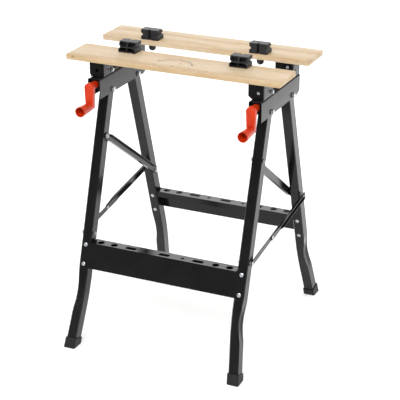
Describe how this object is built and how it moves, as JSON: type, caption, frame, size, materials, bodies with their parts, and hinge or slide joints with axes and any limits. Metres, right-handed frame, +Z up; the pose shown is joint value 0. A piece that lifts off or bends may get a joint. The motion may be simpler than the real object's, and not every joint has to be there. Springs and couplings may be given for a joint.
{
  "type": "folding workbench",
  "caption": "Folding workbench with two wooden jaw boards worked by hand cranks, swivel pegs, slanted tube legs, crossbars and folding side stays.",
  "frame": {"origin": "centre of the footprint, on the floor", "axes": "+X along the boards to the right, -Y towards the cranks, +Z up"},
  "size_m": [0.605, 0.6194, 0.8213],
  "materials": {
    "pale_wood": "sanded, clear sealed",
    "black_paint": "semi-gloss powder coat",
    "grey_paint": "semi-gloss powder coat",
    "zinc_steel": "bright zinc plated",
    "black_plastic": "moulded satin",
    "grey_plastic": "moulded satin",
    "orange_plastic": "moulded gloss",
    "brass": "machined"
  },
  "bodies": {
    "top": {"front_board": "pale_wood", "left_rail": "grey_paint", "left_front_jaw_foot": "grey_paint", "left_front_end_block": "black_plastic", "left_spindle_bush": "black_plastic", "left_foot_bolt": "zinc_steel", "left_front_pivot_bolt": "zinc_steel", "left_rear_pivot_bolt": "zinc_steel", "right_rail": "grey_paint", "right_front_jaw_foot": "grey_paint", "right_front_end_block": "black_plastic", "right_spindle_bush": "black_plastic", "right_foot_bolt": "zinc_steel", "right_front_pivot_bolt": "zinc_steel", "right_rear_pivot_bolt": "zinc_steel"},
    "front_stand": {"front_crossbar": "black_paint", "left_front_leg": "black_paint", "left_front_foot_cap": "black_plastic", "left_upper_stay_bolt": "zinc_steel", "left_lower_stay_nut": "zinc_steel", "right_front_leg": "black_paint", "right_front_foot_cap": "black_plastic", "right_upper_stay_bolt": "zinc_steel", "right_lower_stay_nut": "zinc_steel"},
    "rear_stand": {"rear_crossbar": "black_paint", "left_rear_leg": "black_paint", "left_rear_foot_cap": "black_plastic", "left_rear_stay_bolt": "zinc_steel", "right_rear_leg": "black_paint", "right_rear_foot_cap": "black_plastic", "right_rear_stay_bolt": "zinc_steel"},
    "rear_jaw": {"rear_board": "pale_wood", "left_rear_carriage": "grey_paint", "left_carriage_glide": "black_plastic", "left_travel_nut": "brass", "right_rear_carriage": "grey_paint", "right_carriage_glide": "black_plastic", "right_travel_nut": "brass"},
    "left_screw": {"left_crank": "orange_plastic", "left_spindle": "zinc_steel", "left_spindle_clip": "zinc_steel"},
    "left_inner_brace": {"left_inner_stay": "black_paint"},
    "left_outer_brace": {"left_stay_channel": "black_paint", "left_knee_rivet": "zinc_steel"},
    "left_brace_link": {"left_stay_link": "black_paint", "left_lower_stay_pin": "zinc_steel"},
    "left_front_peg": {"left_front_dog": "grey_plastic"},
    "left_rear_peg": {"left_rear_dog": "grey_plastic"},
    "right_screw": {"right_crank": "orange_plastic", "right_spindle": "zinc_steel", "right_spindle_clip": "zinc_steel"},
    "right_inner_brace": {"right_inner_stay": "black_paint"},
    "right_outer_brace": {"right_stay_channel": "black_paint", "right_knee_rivet": "zinc_steel"},
    "right_brace_link": {"right_stay_link": "black_paint", "right_lower_stay_pin": "zinc_steel"},
    "right_front_peg": {"right_front_dog": "grey_plastic"},
    "right_rear_peg": {"right_rear_dog": "grey_plastic"}
  },
  "joints": [
    {"name": "fold", "type": "hinge", "parent": "top", "child": "front_stand", "pos_m": [0, -0.075, 0.682], "axis": [1, 0, 0], "range_deg": [0, 82]},
    {"name": "rear_fold", "type": "hinge", "parent": "top", "child": "rear_stand", "pos_m": [0, 0.075, 0.682], "axis": [1, 0, 0], "range_deg": [0, 47.38]},
    {"name": "left_inner_stay_pivot", "type": "hinge", "parent": "front_stand", "child": "left_inner_brace", "pos_m": [-0.23, -0.11349, 0.55992], "axis": [1, 0, 0], "range_deg": [-61.67, 0]},
    {"name": "left_outer_stay_pivot", "type": "hinge", "parent": "rear_stand", "child": "left_outer_brace", "pos_m": [-0.23, 0.17784, 0.35583], "axis": [1, 0, 0], "range_deg": [-52.24, 0]},
    {"name": "left_knee", "type": "hinge", "parent": "left_outer_brace", "child": "left_brace_link", "pos_m": [-0.23, -0.05833, 0.32255], "axis": [1, 0, 0], "range_deg": [0, 171.62]},
    {"name": "right_inner_stay_pivot", "type": "hinge", "parent": "front_stand", "child": "right_inner_brace", "pos_m": [0.23, -0.11349, 0.55992], "axis": [1, 0, 0], "range_deg": [-61.67, 0]},
    {"name": "right_outer_stay_pivot", "type": "hinge", "parent": "rear_stand", "child": "right_outer_brace", "pos_m": [0.23, 0.17784, 0.35583], "axis": [1, 0, 0], "range_deg": [-52.24, 0]},
    {"name": "right_knee", "type": "hinge", "parent": "right_outer_brace", "child": "right_brace_link", "pos_m": [0.23, -0.05833, 0.32255], "axis": [1, 0, 0], "range_deg": [0, 171.62]},
    {"name": "left_crank_turn", "type": "hinge", "parent": "top", "child": "left_screw", "pos_m": [-0.23, -0.15, 0.711], "axis": [0, 1, 0], "range_deg": [-6391, 721]},
    {"name": "right_crank_turn", "type": "hinge", "parent": "top", "child": "right_screw", "pos_m": [0.23, -0.15, 0.711], "axis": [0, 1, 0], "range_deg": [-6391, 721]},
    {"name": "jaw_slide", "type": "slide", "parent": "top", "child": "rear_jaw", "axis": [0, 1, 0], "range_m": [-0.071, 0.008]},
    {"name": "left_front_peg_swivel", "type": "hinge", "parent": "top", "child": "left_front_peg", "pos_m": [-0.159, -0.074, 0.7933], "axis": [0, 0, 1], "continuous": true},
    {"name": "left_rear_peg_swivel", "type": "hinge", "parent": "rear_jaw", "child": "left_rear_peg", "pos_m": [-0.159, 0.06, 0.7933], "axis": [0, 0, 1], "continuous": true},
    {"name": "right_front_peg_swivel", "type": "hinge", "parent": "top", "child": "right_front_peg", "pos_m": [0.159, -0.074, 0.7933], "axis": [0, 0, 1], "continuous": true},
    {"name": "right_rear_peg_swivel", "type": "hinge", "parent": "rear_jaw", "child": "right_rear_peg", "pos_m": [0.159, 0.06, 0.7933], "axis": [0, 0, 1], "continuous": true}
  ],
  "couplings": [
    {"joint": "rear_fold", "follows": "fold", "ratio": 0.57771},
    {"joint": "left_inner_stay_pivot", "follows": "fold", "ratio": -0.75198},
    {"joint": "left_outer_stay_pivot", "follows": "fold", "ratio": -0.63695},
    {"joint": "left_knee", "follows": "fold", "ratio": 2.0928},
    {"joint": "right_inner_stay_pivot", "follows": "fold", "ratio": -0.75198},
    {"joint": "right_outer_stay_pivot", "follows": "fold", "ratio": -0.63695},
    {"joint": "right_knee", "follows": "fold", "ratio": 2.0928},
    {"joint": "left_crank_turn", "follows": "jaw_slide", "rad_per_m": 1570.8},
    {"joint": "right_crank_turn", "follows": "jaw_slide", "rad_per_m": 1570.8}
  ]
}
